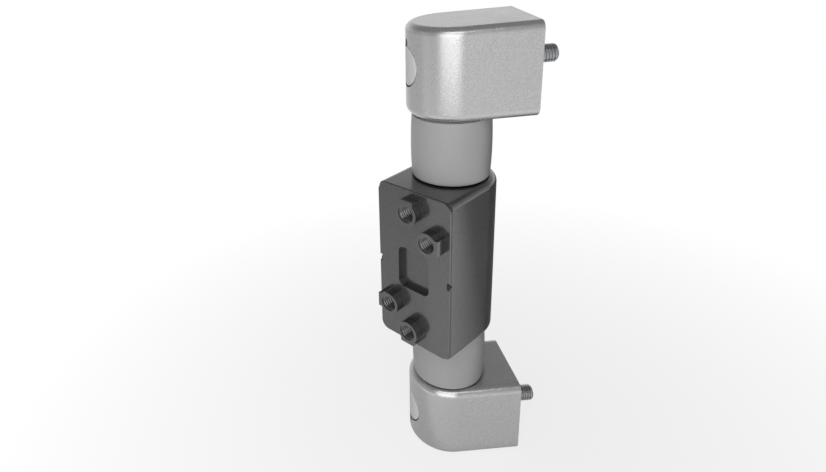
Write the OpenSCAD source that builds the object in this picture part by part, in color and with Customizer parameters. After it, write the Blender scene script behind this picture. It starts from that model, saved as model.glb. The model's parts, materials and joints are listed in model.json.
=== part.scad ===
// Friction joint for aluminium framing.
// Two identical brackets bolt to an upright. A fixed shaft joins them. The arm body swings on the
// shaft between the brackets and carries a horizontal beam of two modules height.
// Millimetres, +Z up. The upright's face is the plane X = 0 and the joint lies on its -X side.

/* [Placement] */
// Distance from the upright's face to the swing axis
axis_offset = 31; // [29:0.5:36]
// Swing angle of the arm body as modelled, measured from straight out
rest_angle = 38; // [0:1:85]

/* [Arm body] */
// Width of the arm body, one framing module
arm_w = 40; // [38:0.5:44]
// Height of the arm body, two framing modules
arm_h = 80; // [76:1:90]
// Distance from the swing axis to the face that the beam's end meets
arm_reach = 27; // [25:0.5:34]
// Fillet along the top and bottom edges of the arm body
arm_edge_r = 3; // [1:0.5:4]
// Length of the rim at the beam end
rim_len = 1.2; // [0.8:0.1:2]
// How far the rim stands back from the sides of the arm body
rim_inset = 0.35; // [0.2:0.05:0.6]
// Corner radius of the rim, that of the beam's corners
rim_corner_r = 4; // [3:0.5:5]
// Depth of the centre mark notched into each side of the rim
mark_depth = 1.8; // [1:0.1:2.5]
// Height of the centre mark at its mouth
mark_h = 4; // [3:0.5:6]
// Width of the cored pocket in the beam face
core_w = 17; // [12:1:19]
// Height of the cored pocket in the beam face
core_h = 21; // [16:1:24]
// Depth of the cored pocket in the beam face
core_depth = 3; // [2:0.25:3.5]
// Corner radius of the cored pocket
core_corner_r = 3; // [1:0.5:4]

/* [Beam lugs] */
// Length of the locating lugs that stand in the beam's slots
lug_len = 5; // [3:0.5:7]
// Diameter of a lug around its screw hole
lug_d = 11; // [10.2:0.2:12]
// Width of the neck that fills the slot's mouth
lug_neck = 7.6; // [7:0.1:8]
// Distance of the neck's end below the outer face of the beam
lug_inset = 3; // [2.5:0.25:4.5]
// Tapping diameter of the screw holes in the lugs
beam_hole_d = 6.8; // [6:0.1:7]
// Depth of those holes below the beam face
beam_hole_depth = 12; // [9:0.5:12.5]
// Countersink leg at their mouths
beam_hole_chamfer = 0.4; // [0.2:0.1:0.5]
// Depth of the beam's slot centre below its outer faces
slot_inset = 9; // [8.5:0.25:10]
// Height of the beam's side slots above and below its middle
side_slot_z = 20; // [19:0.5:22.5]

/* [Brackets] */
// Width of a bracket and diameter of its round nose
bracket_w = 39; // [38:0.5:42]
// Height of a bracket along the swing axis
bracket_h = 40; // [36:0.5:44]
// Fillet along the outer edge of a bracket
bracket_outer_r = 3.5; // [2:0.25:4]
// Fillet along the edge that faces the sleeve
bracket_inner_r = 3; // [2:0.25:3.5]
// Depth of the shaft bore from the face that meets the sleeve
shaft_bore_depth = 32; // [29:0.5:33]
// Radial clearance between a sleeve and the spigot that centres it
spigot_fit = 0.3; // [0.1:0.05:0.5]
// Height of that spigot
spigot_h = 2; // [1:0.25:3]
// Wall left around the two cored pockets in the back
bracket_wall = 4.5; // [3.5:0.25:6]
// Width of the solid rib between those pockets
rib_w = 15; // [14:0.5:18]
// Distance that the pockets keep from the swing axis
pocket_axis_gap = 11; // [10.5:0.5:13]

/* [Sleeves] */
// Height between the arm body and a bracket
sleeve_space = 30; // [29:0.5:34]
// Wall of a sleeve at its ends
sleeve_wall = 3; // [2.4:0.1:3.2]
// How much a sleeve's radius grows towards its middle
sleeve_barrel = 0.5; // [0.3:0.1:1.2]
// Room between the friction pack and a sleeve's bore
pack_room = 1.1; // [0.8:0.1:1.4]
// Running gap between a sleeve and the arm body
sleeve_gap = 0.7; // [0.6:0.1:1]
// Height and depth of the shadow groove below a bracket
shadow_gap = 0.5; // [0.3:0.1:0.8]

/* [Dust rings] */
// Sleeve wall left inside a dust ring
dust_wall = 0.6; // [0.5:0.05:0.8]
// Width of a dust ring
dust_w = 1; // [0.8:0.1:1.2]
// Height of a dust ring
dust_h = 1.8; // [1.4:0.1:2.2]
// Gap between a dust ring and the arm body
dust_gap = 0.25; // [0.2:0.05:0.4]

/* [Shaft] */
// Diameter of the shaft
shaft_d = 16; // [15:0.25:16.5]
// Gap between the shaft's ends and the blind ends of the bracket bores
shaft_end_gap = 0.5; // [0.3:0.1:1]
// Chamfer at the shaft's ends
shaft_chamfer = 1; // [0.5:0.25:1.5]
// Distance across the two flats that stop the thrust washers turning
flats_across = 14; // [13:0.25:14.25]
// Radial clearance between the shaft and the bracket bores
shaft_fit = 0.02; // [0.02:0.01:0.05]
// Radial clearance between the shaft and the bushes
bush_fit = 0.05; // [0.03:0.01:0.08]

/* [Bushes] */
// Wall of a bush
bush_wall = 2; // [1.5:0.25:2.5]
// Length of a bush
bush_len = 18; // [14:0.5:22]
// Radial clearance of the arm body's bore between the bushes
relief_gap = 0.8; // [0.5:0.1:1.2]

/* [Friction pack] */
// Outer diameter of the friction discs, thrust washers, adjusting nut and support collar
pack_d = 26; // [25:0.5:27]
// Thickness of the friction discs
disc_t = 2; // [1.5:0.25:2.5]
// Depth of the seats of the friction discs in the arm body
disc_seat = 1; // [0.6:0.1:1.2]
// Gap at the rubbing faces
rub_gap = 0.1; // [0.05:0.05:0.2]
// Thickness of the thrust washers
thrust_t = 3; // [2.5:0.25:3.5]
// How far the disc springs stand back from the pack's outer diameter
spring_room = 0.5; // [0.25:0.25:1]
// Thickness of one disc spring
spring_t = 1.25; // [1:0.05:1.5]
// Height of the cone of one disc spring
spring_cone = 0.7; // [0.5:0.05:0.8]
// Number of disc springs
spring_count = 4; // [2:2:4]
// Gap between neighbours in the pack
pack_gap = 0.05; // [0.05:0.05:0.1]
// Thickness of the guide washer between springs and nut
guide_t = 1.6; // [1:0.2:2]
// Height of the adjusting nut
nut_h = 8; // [7:0.5:9]
// Width of the hook-wrench slots in the adjusting nut
nut_slot_w = 4; // [3:0.5:5]
// Depth of those slots
nut_slot_depth = 2; // [1.5:0.25:2.5]
// Height of the support collar
collar_h = 10; // [8:0.5:12]
// Chamfer on the nut and the collar
nut_chamfer = 0.8; // [0.4:0.1:1.2]
// Diameter of the nut's lock screw
lock_d = 4; // [3:0.5:4]
// Hex key size of the lock screw
lock_key = 2; // [1.5:0.25:2]
// Diameter of the collar's spring pin
pin_d = 5; // [4:0.5:5]
// Wall of the spring pin
pin_wall = 1; // [0.75:0.25:1.25]
// Width of the spring pin's slit
pin_slit = 0.8; // [0.5:0.1:1]

/* [Fastening screws] */
// Height of the fastening screws above the face that meets the sleeve
screw_up = 21.7; // [20:0.1:23]
// Thread diameter of the fastening screws
screw_d = 8; // [7:0.5:8]
// How much thinner the screws' shank is than their thread
shank_relief = 0.9; // [0.8:0.1:1.2]
// Length of the fastening screws under the head
screw_len = 55; // [50:1:58]
// Head diameter of the fastening screws
head_d = 13; // [12:0.5:13]
// Head height of the fastening screws
head_h = 5; // [4:0.25:5]
// Hex key size of the fastening screws
screw_key = 5; // [4:0.5:6]
// Depth of the hex socket
socket_depth = 2.8; // [2:0.2:3]
// Clearance on the diameter of the screw holes
screw_clearance = 0.6; // [0.4:0.1:0.9]
// Bracket wall between a screw's seat and the shaft
seat_wall = 2.5; // [2:0.25:3]

/* [Caps] */
// Diameter of a cap
cap_d = 17.4; // [16.5:0.1:19]
// Gap around a cap
cap_gap = 0.25; // [0.15:0.05:0.35]
// Distance from the swing axis to the floor of the cap's recess
cap_floor = 13.6; // [13:0.2:14]
// Thickness of the cap over the screw's head
cap_crown = 2.2; // [1.8:0.1:2.4]
// Clearance between the screw's head and what surrounds it
head_clearance = 0.6; // [0.4:0.1:0.8]
// Radius of the pry notch beside the cap
pry_r = 1.6; // [1:0.1:2]
// Depth of the pry notch
pry_depth = 2.2; // [1:0.1:3]

/* [Hidden] */
$fn = 96;
key_flat_ratio = 2 / sqrt(3);
arm_r = arm_w / 2;
arm_top = arm_h / 2;
nose_r = bracket_w / 2;
shaft_r = shaft_d / 2;
bush_r = shaft_r + bush_fit + bush_wall;
bracket_z = arm_top + sleeve_space;
screw_z = bracket_z + screw_up;
shaft_end = bracket_z + shaft_bore_depth - shaft_end_gap;
seat_x = shaft_r + seat_wall;
sleeve_bore_r = pack_d / 2 + pack_room;
sleeve_end_r = sleeve_bore_r + sleeve_wall;
sleeve_mid_r = sleeve_end_r + sleeve_barrel;
sleeve_len = sleeve_space - sleeve_gap;
barrel_r = (sleeve_len * sleeve_len / 4 + sleeve_barrel * sleeve_barrel) / (2 * sleeve_barrel);
dust_in_r = sleeve_bore_r + dust_wall;
disc_z = arm_top - disc_seat;
bush_z = disc_z - bush_len;
thrust_z = disc_z + disc_t + rub_gap;
spring_r = pack_d / 2 - spring_room;
spring_z = thrust_z + thrust_t + pack_gap;
spring_pitch = spring_t + spring_cone + pack_gap;
guide_z = spring_z + spring_count * spring_pitch;
nut_z = guide_z + guide_t + pack_gap;
collar_z = thrust_z + thrust_t + pack_gap;
pin_z = collar_z + collar_h / 2;
flats_end = nut_z + nut_h;
pin_len = pack_d - 1;
lock_tip = flats_across / 2 + pack_gap;
lock_len = pack_d / 2 - 0.5 - lock_tip;
side_slot_y = arm_r - slot_inset;
top_slot_z = arm_top - slot_inset;
casting_grey = [0.72, 0.73, 0.74];
arm_grey = [0.33, 0.33, 0.34];
sleeve_grey = [0.62, 0.62, 0.63];
cap_grey = [0.76, 0.76, 0.77];
steel_grey = [0.66, 0.67, 0.68];

// Puts its children on the swing axis
module at_axis() {
    translate([-axis_offset, 0, 0]) children();
}

// Turns its children, drawn with the arm straight out along -X, to the swing angle
module swung() {
    at_axis() rotate([0, 0, rest_angle]) children();
}

// The lower copy of what is drawn above the middle
module below() {
    mirror([0, 0, 1]) children();
}

// Lays a cylinder along X from x0 to x1, with x measured outwards from the swing axis
module bore_x(r, x0, x1) {
    rotate([0, -90, 0]) translate([0, 0, x0]) cylinder(r = r, h = x1 - x0);
}

// Flat ring standing on z
module ring(z, h, outer_d, inner_d) {
    translate([0, 0, z]) difference() {
        cylinder(d = outer_d, h = h);
        translate([0, 0, -1]) cylinder(d = inner_d, h = h + 2);
    }
}

// Ring with chamfered edges
module turned_ring(z, h, outer_r, inner_r, chamfer) {
    translate([0, 0, z]) rotate_extrude() polygon([
        [inner_r, 0], [outer_r - chamfer, 0], [outer_r, chamfer],
        [outer_r, h - chamfer], [outer_r - chamfer, h], [inner_r, h]]);
}

// Half of an upright section, w wide and h high, with rounded outer corners
module half_section(w, h, r_low, r_high) {
    square([w - r_low, h - r_high]);
    translate([0, r_low]) square([w - r_high, h - r_low]);
    translate([0, r_low]) square([w, h - r_low - r_high]);
    translate([w - r_low, r_low]) circle(r = r_low);
    translate([w - r_high, h - r_high]) circle(r = r_high);
}

// Solid with a half-round nose about the Z axis and straight sides that run length along +X
module nosed_block(w, h, length, r_low, r_high) {
    rotate([0, 0, 90]) rotate_extrude(angle = 180) half_section(w, h, r_low, r_high);
    rotate([90, 0, 90]) linear_extrude(height = length) {
        half_section(w, h, r_low, r_high);
        mirror([1, 0]) half_section(w, h, r_low, r_high);
    }
}

// Rectangle about the origin with rounded corners
module round_rect(w, h, r) {
    square([w - 2 * r, h], center = true);
    square([w, h - 2 * r], center = true);
    for (sx = [-1, 1], sy = [-1, 1])
        translate([sx * (w / 2 - r), sy * (h / 2 - r)]) circle(r = r);
}

// One bracket with its sleeve face on z = 0
module bracket() {
    pocket_len = axis_offset - pocket_axis_gap;
    pocket_w = nose_r - bracket_wall - rib_w / 2;
    pocket_h = bracket_h - 2 * bracket_wall;
    difference() {
        union() {
            at_axis() nosed_block(nose_r, bracket_h, axis_offset, bracket_inner_r, bracket_outer_r);
            at_axis() translate([0, 0, -spigot_h])
                cylinder(r = sleeve_bore_r - spigot_fit, h = spigot_h + 1);
        }
        at_axis() translate([0, 0, -spigot_h - 1])
            cylinder(r = shaft_r + shaft_fit, h = shaft_bore_depth + spigot_h + 1);
        at_axis() translate([0, 0, screw_up]) {
            bore_x((screw_d + screw_clearance) / 2, -axis_offset - 1, seat_x + 1);
            bore_x((head_d + head_clearance) / 2, seat_x, nose_r);
            bore_x(cap_d / 2 + cap_gap, cap_floor, nose_r + 1);
            translate([0, 0, cap_d / 2 + pry_r]) bore_x(pry_r, nose_r - pry_depth, nose_r + 1);
        }
        for (side = [-1, 1])
            translate([0, side * (rib_w / 2 + pocket_w / 2), bracket_h / 2])
                rotate([90, 0, 90]) translate([0, 0, -pocket_len])
                    linear_extrude(height = pocket_len + 1) round_rect(pocket_w, pocket_h, 1.5);
    }
}

// Cap that closes the screw recess, its crown following the bracket's nose
module cap() {
    head_room = seat_x + head_h + head_clearance;
    translate([0, 0, screw_z]) at_axis() difference() {
        intersection() {
            bore_x(cap_d / 2, cap_floor, nose_r + 1);
            translate([0, 0, -cap_d]) cylinder(r = nose_r, h = 2 * cap_d);
        }
        bore_x((head_d + head_clearance) / 2 + cap_gap, cap_floor - 1, min(head_room, nose_r - cap_crown));
    }
}

// Low-head cap screw through the bracket and the shaft's end, threaded where it leaves the back
module fastening_screw() {
    tip = seat_x - screw_len;
    thread_r = screw_d / 2;
    shank_r = thread_r - shank_relief / 2;
    head_top = seat_x + head_h;
    translate([0, 0, screw_z]) at_axis() difference() {
        rotate([0, -90, 0]) rotate_extrude() polygon([
            [0, tip], [thread_r - 1, tip], [thread_r, tip + 1], [thread_r, -axis_offset],
            [shank_r, -axis_offset + 0.5], [shank_r, seat_x], [head_d / 2, seat_x],
            [head_d / 2, head_top - 0.5], [head_d / 2 - 0.5, head_top], [0, head_top]]);
        rotate([0, -90, 0]) translate([0, 0, seat_x + head_h - socket_depth])
            cylinder(d = screw_key * key_flat_ratio, h = socket_depth + 1, $fn = 6);
    }
}

module shaft() {
    color(steel_grey) at_axis() difference() {
        rotate_extrude() polygon([
            [0, -shaft_end], [shaft_r - shaft_chamfer, -shaft_end], [shaft_r, -shaft_end + shaft_chamfer],
            [shaft_r, shaft_end - shaft_chamfer], [shaft_r - shaft_chamfer, shaft_end], [0, shaft_end]]);
        for (side = [-1, 1]) {
            translate([-shaft_d, side * (flats_across / 2 + shaft_r) - shaft_r, thrust_z])
                cube([2 * shaft_d, shaft_d, flats_end - thrust_z]);
            translate([-shaft_d, side * (flats_across / 2 + shaft_r) - shaft_r, -thrust_z - thrust_t])
                cube([2 * shaft_d, shaft_d, thrust_t]);
            translate([0, 0, side * screw_z])
                bore_x((screw_d + screw_clearance) / 2, -shaft_d, shaft_d);
        }
        translate([0, 0, -pin_z]) bore_x(pin_d / 2, -shaft_d, shaft_d);
    }
}

// Barrel-shaped sleeve standing above the arm body
module sleeve() {
    at_axis() translate([0, 0, arm_top + sleeve_gap]) rotate_extrude() difference() {
        intersection() {
            square([sleeve_mid_r, sleeve_len]);
            translate([sleeve_mid_r - barrel_r, sleeve_len / 2]) circle(r = barrel_r, $fn = 360);
        }
        square([2 * sleeve_bore_r, 3 * sleeve_len], center = true);
        translate([sleeve_end_r - shadow_gap, sleeve_len - shadow_gap]) square(sleeve_mid_r);
        translate([dust_in_r - pack_gap, -1])
            square([dust_w + 2 * pack_gap, dust_h + dust_gap - sleeve_gap + 1]);
    }
}

module dust_ring() {
    at_axis() ring(arm_top + dust_gap, dust_h, 2 * (dust_in_r + dust_w), 2 * dust_in_r);
}

module arm_body() {
    color(arm_grey) swung() difference() {
        union() {
            translate([0, 0, -arm_top]) mirror([1, 0, 0])
                nosed_block(arm_r, arm_h, arm_reach - rim_len, arm_edge_r, arm_edge_r);
            translate([-arm_reach, 0, 0]) rotate([90, 0, 90]) linear_extrude(height = rim_len + 1)
                round_rect(arm_w - 2 * rim_inset, arm_h - 2 * rim_inset, rim_corner_r);
            for (side = [-1, 1]) {
                beam_lug([0, side * top_slot_z], 90 * (1 - side));
                beam_lug([side * side_slot_y, -side * side_slot_z], -90 * side);
            }
        }
        translate([0, 0, -arm_h]) cylinder(r = shaft_r + relief_gap, h = 2 * arm_h);
        for (side = [0, 1]) mirror([0, 0, side]) {
            translate([0, 0, bush_z]) cylinder(r = bush_r, h = bush_len + 1);
            translate([0, 0, disc_z]) cylinder(d = pack_d + 2 * pack_gap, h = disc_seat + 1);
        }
        for (side = [-1, 1]) {
            beam_hole([0, side * top_slot_z]);
            beam_hole([side * side_slot_y, -side * side_slot_z]);
            centre_mark(side);
        }
        translate([-arm_reach, 0, 0]) rotate([90, 0, 90]) translate([0, 0, -1])
            linear_extrude(height = core_depth + 1) round_rect(core_w, core_h, core_corner_r);
    }
}

// Locating lug on the beam face at [across, up], its neck turned towards the slot's mouth
module beam_lug(at, turn) {
    translate([-arm_reach - lug_len, at[0], at[1]]) rotate([90, 0, 90])
        linear_extrude(height = lug_len + 1) rotate(turn) {
            circle(d = lug_d);
            translate([-lug_neck / 2, 0]) square([lug_neck, slot_inset - lug_inset]);
        }
}

// Tapped hole in a lug at [across, up]
module beam_hole(at) {
    hole_r = beam_hole_d / 2;
    hole_end = lug_len + beam_hole_depth;
    translate([-arm_reach - lug_len, at[0], at[1]]) rotate([0, 90, 0]) rotate_extrude() polygon([
        [0, -1], [hole_r + beam_hole_chamfer + 1, -1], [hole_r, beam_hole_chamfer],
        [hole_r, hole_end - 1], [0, hole_end + 0.5]]);
}

// V-shaped centre mark in one side of the rim
module centre_mark(side) {
    translate([-arm_reach, side * arm_r, 0]) rotate([90, 0, 0]) translate([0, 0, -mark_depth])
        linear_extrude(height = 2 * mark_depth)
            polygon([[-1, -mark_h / 2 - 1], [mark_depth, 0], [-1, mark_h / 2 + 1]]);
}

module bush() {
    swung() ring(bush_z, bush_len, 2 * bush_r, 2 * (shaft_r + bush_fit));
}

module friction_disc() {
    swung() ring(disc_z, disc_t, pack_d, shaft_d + 2 * relief_gap);
}

// Washer held against turning by the shaft's flats
module thrust_washer() {
    at_axis() difference() {
        translate([0, 0, thrust_z]) cylinder(d = pack_d, h = thrust_t);
        intersection() {
            translate([0, 0, thrust_z - 1]) cylinder(r = shaft_r + pack_gap, h = thrust_t + 2);
            cube([2 * shaft_d, flats_across + 2 * pack_gap, 3 * arm_h], center = true);
        }
    }
}

// Conical disc spring; a flipped one has its inner edge low
module disc_spring(flipped) {
    inner = shaft_r + relief_gap / 2;
    low = flipped ? 0 : spring_cone;
    high = flipped ? spring_cone : 0;
    rotate_extrude() polygon([
        [inner, low], [spring_r, high], [spring_r, high + spring_t], [inner, low + spring_t]]);
}

module disc_springs() {
    color(steel_grey) at_axis() for (i = [0:spring_count - 1])
        translate([0, 0, spring_z + i * spring_pitch]) disc_spring(i % 2 == 1);
}

module guide_washer() {
    color(steel_grey) at_axis() ring(guide_z, guide_t, 2 * spring_r, shaft_d + relief_gap);
}

module adjusting_nut() {
    color([0.55, 0.53, 0.45]) at_axis() difference() {
        turned_ring(nut_z, nut_h, pack_d / 2, shaft_r + pack_gap, nut_chamfer);
        for (turn = [45:90:315]) rotate([0, 0, turn])
            translate([pack_d / 2 - nut_slot_depth, -nut_slot_w / 2, nut_z - 1])
                cube([nut_slot_depth + 1, nut_slot_w, nut_h + 2]);
        translate([0, 0, nut_z + nut_h / 2]) rotate([-90, 0, 0]) cylinder(d = lock_d, h = pack_d);
    }
}

module nut_lock_screw() {
    color([0.2, 0.2, 0.21]) at_axis() translate([0, 0, nut_z + nut_h / 2]) rotate([-90, 0, 0])
        difference() {
            translate([0, 0, lock_tip]) cylinder(d = lock_d - pack_gap, h = lock_len);
            translate([0, 0, lock_tip + lock_len - lock_key])
                cylinder(d = lock_key * key_flat_ratio, h = lock_len, $fn = 6);
        }
}

module support_collar() {
    color(steel_grey) at_axis() difference() {
        turned_ring(-collar_z - collar_h, collar_h, pack_d / 2, shaft_r + pack_gap, nut_chamfer);
        translate([0, 0, -pin_z]) bore_x(pin_d / 2, -pack_d, pack_d);
    }
}

module collar_pin() {
    color([0.25, 0.25, 0.26]) at_axis() translate([0, 0, -pin_z]) difference() {
        bore_x(pin_d / 2, -pin_len / 2, pin_len / 2);
        bore_x(pin_d / 2 - pin_wall, -pin_len, pin_len);
        translate([-pin_len, -pin_slit / 2, 0]) cube([2 * pin_len, pin_slit, pin_d]);
    }
}

module upper_bracket() { color(casting_grey) translate([0, 0, bracket_z]) bracket(); }
module lower_bracket() { color(casting_grey) below() translate([0, 0, bracket_z]) bracket(); }
module upper_cap() { color(cap_grey) cap(); }
module lower_cap() { color(cap_grey) below() cap(); }
module upper_screw() { color(steel_grey) fastening_screw(); }
module lower_screw() { color(steel_grey) below() fastening_screw(); }
module upper_sleeve() { color(sleeve_grey) sleeve(); }
module lower_sleeve() { color(sleeve_grey) below() sleeve(); }
module upper_dust_ring() { color([0.1, 0.1, 0.1]) dust_ring(); }
module lower_dust_ring() { color([0.1, 0.1, 0.1]) below() dust_ring(); }
module upper_bush() { color([0.6, 0.5, 0.3]) bush(); }
module lower_bush() { color([0.6, 0.5, 0.3]) below() bush(); }
module upper_friction_disc() { color([0.35, 0.27, 0.2]) friction_disc(); }
module lower_friction_disc() { color([0.35, 0.27, 0.2]) below() friction_disc(); }
module upper_thrust_washer() { color(steel_grey) thrust_washer(); }
module lower_thrust_washer() { color(steel_grey) below() thrust_washer(); }

upper_bracket();
lower_bracket();
upper_cap();
lower_cap();
upper_screw();
lower_screw();
shaft();
upper_sleeve();
lower_sleeve();
upper_dust_ring();
lower_dust_ring();
arm_body();
upper_bush();
lower_bush();
upper_friction_disc();
lower_friction_disc();
upper_thrust_washer();
lower_thrust_washer();
disc_springs();
guide_washer();
adjusting_nut();
nut_lock_screw();
support_collar();
collar_pin();
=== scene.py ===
"""Visual model of a friction joint for aluminium framing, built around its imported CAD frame.

Two silver bracket castings hold a fixed shaft. A dark arm casting swings on the shaft between two
cover sleeves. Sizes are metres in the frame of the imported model: the brackets' backs lie in the
plane X = 0 and +Z runs up along the swing axis.
"""

import json
import math

import bmesh
import bpy
from bpy.props import FloatProperty, FloatVectorProperty, IntProperty, PointerProperty
from mathutils import Euler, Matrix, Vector

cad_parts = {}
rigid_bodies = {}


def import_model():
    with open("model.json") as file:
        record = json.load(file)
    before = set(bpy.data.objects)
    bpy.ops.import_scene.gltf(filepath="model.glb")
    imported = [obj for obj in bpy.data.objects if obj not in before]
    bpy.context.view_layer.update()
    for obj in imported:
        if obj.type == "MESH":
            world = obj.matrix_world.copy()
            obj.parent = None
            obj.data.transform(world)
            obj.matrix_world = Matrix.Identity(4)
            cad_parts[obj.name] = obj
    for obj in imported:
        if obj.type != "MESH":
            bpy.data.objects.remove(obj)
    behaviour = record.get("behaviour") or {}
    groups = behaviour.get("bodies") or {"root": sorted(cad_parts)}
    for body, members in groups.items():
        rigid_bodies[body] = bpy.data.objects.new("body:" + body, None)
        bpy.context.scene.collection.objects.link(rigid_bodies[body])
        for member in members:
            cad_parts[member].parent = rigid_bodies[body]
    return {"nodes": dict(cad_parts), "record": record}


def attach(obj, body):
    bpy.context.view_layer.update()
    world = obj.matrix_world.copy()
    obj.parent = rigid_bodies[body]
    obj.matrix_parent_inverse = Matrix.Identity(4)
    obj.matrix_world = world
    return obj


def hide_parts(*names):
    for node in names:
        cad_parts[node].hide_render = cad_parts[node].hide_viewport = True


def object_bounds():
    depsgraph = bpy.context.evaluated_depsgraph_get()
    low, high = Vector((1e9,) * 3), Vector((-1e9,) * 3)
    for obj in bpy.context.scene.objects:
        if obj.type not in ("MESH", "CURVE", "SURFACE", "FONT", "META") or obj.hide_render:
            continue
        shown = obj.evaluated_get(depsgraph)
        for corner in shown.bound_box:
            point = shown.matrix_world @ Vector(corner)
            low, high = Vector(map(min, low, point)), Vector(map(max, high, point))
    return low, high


bl_info = {
    "name": "Friction Joint",
    "version": (1, 0, 0),
    "blender": (4, 5, 0),
    "location": "View3D > Sidebar > Friction Joint",
    "description": "Builds the looks of a friction joint for framing, piece by piece",
    "category": "Object",
}

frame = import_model()
CAD_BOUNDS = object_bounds()
MM = 0.001
# Vertices nearer than this are one
TINY = 1e-6
# How far a cutter stands past what it cuts
OVER = 1 * MM
# Facets around notches, holes and lugs, screw heads, rings and caps, and noses
NOTCH_STEPS, HOLE_STEPS, HEAD_STEPS, RING_STEPS, NOSE_STEPS = 32, 48, 64, 96, 128
# Edges sharper than the first angle are rounded. Those flatter than the second are shaded smooth,
# or than the third on threads
ROUNDED_ANGLE, SMOOTH_ANGLE, THREAD_ANGLE = 34.0, 32.0, 25.0


def length(name, about, default):
    """A length in metres, given in millimetres."""
    return FloatProperty(name=name, description=about, default=default * MM, min=0.0, max=1.0,
                         precision=5, unit="LENGTH", subtype="DISTANCE")


def colour(name, about, default):
    """A surface colour, linear."""
    return FloatVectorProperty(name=name, description=about, default=default, min=0.0, max=1.0,
                               size=3, subtype="COLOR")


def factor(name, about, default, high=1.0):
    """A plain number from nought to high."""
    return FloatProperty(name=name, description=about, default=default, min=0.0, max=high,
                         subtype="FACTOR")


class JointSizes(bpy.types.PropertyGroup):
    """Sizes of the joint that its pieces share"""

    axis_offset: length("Axis Offset", "Distance from the brackets' backs to the swing axis", 31.0)
    arm_angle: FloatProperty(name="Arm Angle", description="Swing of the arm at rest",
                             default=math.radians(38.0), unit="ROTATION", subtype="ANGLE")
    edge_break: length("Edge Break", "Rounding of the castings' sharp edges", 0.35)
    bracket_low: length("Bracket Foot", "Height of a bracket's sleeve face above the middle", 70.0)
    bracket_high: length("Bracket Top", "Height of a bracket's outer face above the middle", 110.0)
    nose_radius: length("Nose Radius", "Radius of a bracket's round nose", 19.5)
    sleeve_fillet: length("Sleeve Fillet", "Fillet of a bracket's edge on the sleeve side", 4.0)
    outer_fillet: length("Outer Fillet", "Fillet of a bracket's outer edge", 3.5)
    spigot_radius: length("Spigot Radius", "Radius of the spigot that centres a sleeve", 13.8)
    bore_radius: length("Bore Radius", "Radius of a bracket's shaft bore", 8.02)
    screw_height: length("Screw Height", "Height of a fastening screw above the middle", 91.7)
    screw_standout: length("Screw Standout", "How far a screw stands out of a back", 13.5)
    shank_radius: length("Shank Radius", "Radius of a screw's shank", 3.55)
    head_radius: length("Head Radius", "Radius of a screw's head", 6.5)
    head_height: length("Head Height", "Height of a screw's head", 5.0)
    thread_core: length("Thread Core", "Core radius of a screw's thread", 3.35)
    hex_key: length("Hex Key", "Width across flats of a screw's socket", 5.0)
    cap_radius: length("Cap Radius", "Radius of a blanking cap", 8.5)
    cap_seam: length("Cap Seam", "Gap between a blanking cap and its recess", 0.55)
    cap_floor: length("Cap Floor", "Distance from the swing axis to the cap's recess", 13.6)
    seat: length("Screw Seat", "Distance from the swing axis to the screw head's seat", 10.5)
    arm_radius: length("Arm Radius", "Radius of the arm casting's round back", 20.0)
    arm_height: length("Arm Height", "Height of the arm casting", 80.0)
    arm_reach: length("Arm Reach", "Distance from the swing axis to the beam face", 27.0)
    arm_fillet: length("Arm Fillet", "Fillet of the arm casting's top and bottom edges", 3.0)
    rim_length: length("Rim Length", "Length of the rim at the beam face", 1.2)
    rim_inset: length("Rim Inset", "How far the rim stands back from the casting's sides", 0.35)
    slot_up: length("Slot Up", "Height of the upper lug above the middle", 31.0)
    side_slot_up: length("Side Slot Up", "Height of the side lugs above and below the middle", 20.0)
    side_slot_out: length("Side Slot Out", "Distance of the side lugs from the middle", 11.0)
    disc_seat_radius: length("Disc Seat Radius", "Radius of the friction discs' seats", 13.05)
    bush_seat_radius: length("Bush Seat Radius", "Radius of the bushes' seats", 10.05)
    bush_seat_end: length("Bush Seat End", "Depth of the bushes' seats from the arm's ends", 19.0)
    relief_radius: length("Relief Radius", "Radius of the arm's bore between the bushes", 8.8)
    lug_radius: length("Lug Radius", "Radius of a lug around its hole", 5.5)
    hole_depth: length("Hole Depth", "Depth of a threaded hole from its mouth", 17.0)
    lug_length: length("Lug Length", "Length of the locating lugs on the beam face", 5.0)
    hole_radius: length("Hole Radius", "Core radius of the threaded holes in the lugs", 3.4)
    thread_radius: length("Thread Radius", "Outer radius of the M8 threads", 4.0)
    thread_pitch: length("Thread Pitch", "Pitch of the M8 threads", 1.25)
    sleeve_bore: length("Sleeve Bore", "Inner radius of a cover sleeve", 14.1)
    sleeve_end: length("Sleeve End", "Outer radius of a cover sleeve at its ends", 17.1)
    sleeve_barrel: length("Sleeve Barrel", "How much a sleeve bulges in its middle", 0.5)
    sleeve_gap: length("Sleeve Gap", "Running gap between a sleeve and the arm casting", 0.7)
    ring_inner: length("Ring Inner", "Inner radius of a dust ring", 14.7)
    ring_outer: length("Ring Outer", "Outer radius of a dust ring", 15.7)
    ring_height: length("Ring Height", "Height of a dust ring", 1.8)
    ring_gap: length("Ring Gap", "Gap between a dust ring and the arm casting", 0.25)
    sleeve_seam: length("Sleeve Seam", "Width and depth of the groove at a sleeve's far end", 0.5)
    turning_steps: IntProperty(name="Turning Steps", description="Facets around a turned piece",
                               default=128, min=32, max=256)


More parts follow.
